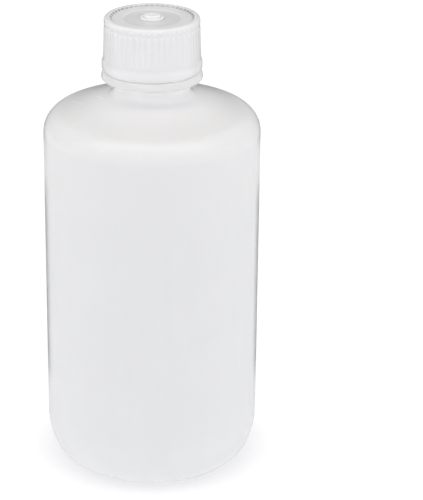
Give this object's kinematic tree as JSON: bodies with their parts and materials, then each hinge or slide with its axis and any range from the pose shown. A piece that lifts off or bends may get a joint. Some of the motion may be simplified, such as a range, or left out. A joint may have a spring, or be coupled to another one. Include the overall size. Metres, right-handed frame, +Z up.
{
  "type": "reagent bottle",
  "caption": "Round narrow-mouth laboratory bottle in milky plastic, with a ribbed screw cap and a sealing plug, for storing liquids.",
  "frame": {"origin": "centre of the base, on the surface that the bottle stands on", "axes": "+Z up along the bottle's axis, towards the cap; X and Y are level, and the two threads start on +X"},
  "size_m": [0.061, 0.061, 0.1333],
  "materials": {
    "bottle_plastic": "natural low-density polyethylene, milky and translucent, satin",
    "seal_plastic": "soft natural polyethylene, satin",
    "cap_plastic": "natural polypropylene, translucent, smooth semi-gloss"
  },
  "bodies": {
    "bottle_body": {"bottle": "bottle_plastic"},
    "seal_body": {"seal_insert": "seal_plastic"},
    "cap_body": {"cap": "cap_plastic"}
  },
  "joints": [
    {"name": "cap_lift", "type": "slide", "parent": "bottle_body", "child": "seal_body", "axis": [0, 0, 1], "range_m": [0, 0.01589]},
    {"name": "cap_turn", "type": "hinge", "parent": "seal_body", "child": "cap_body", "pos_m": [0, 0, 0.1246], "axis": [0, 0, 1], "range_deg": [0, 1800]}
  ],
  "couplings": [
    {"joint": "cap_lift", "follows": "cap_turn", "m_per_rad": 0.00050532}
  ]
}
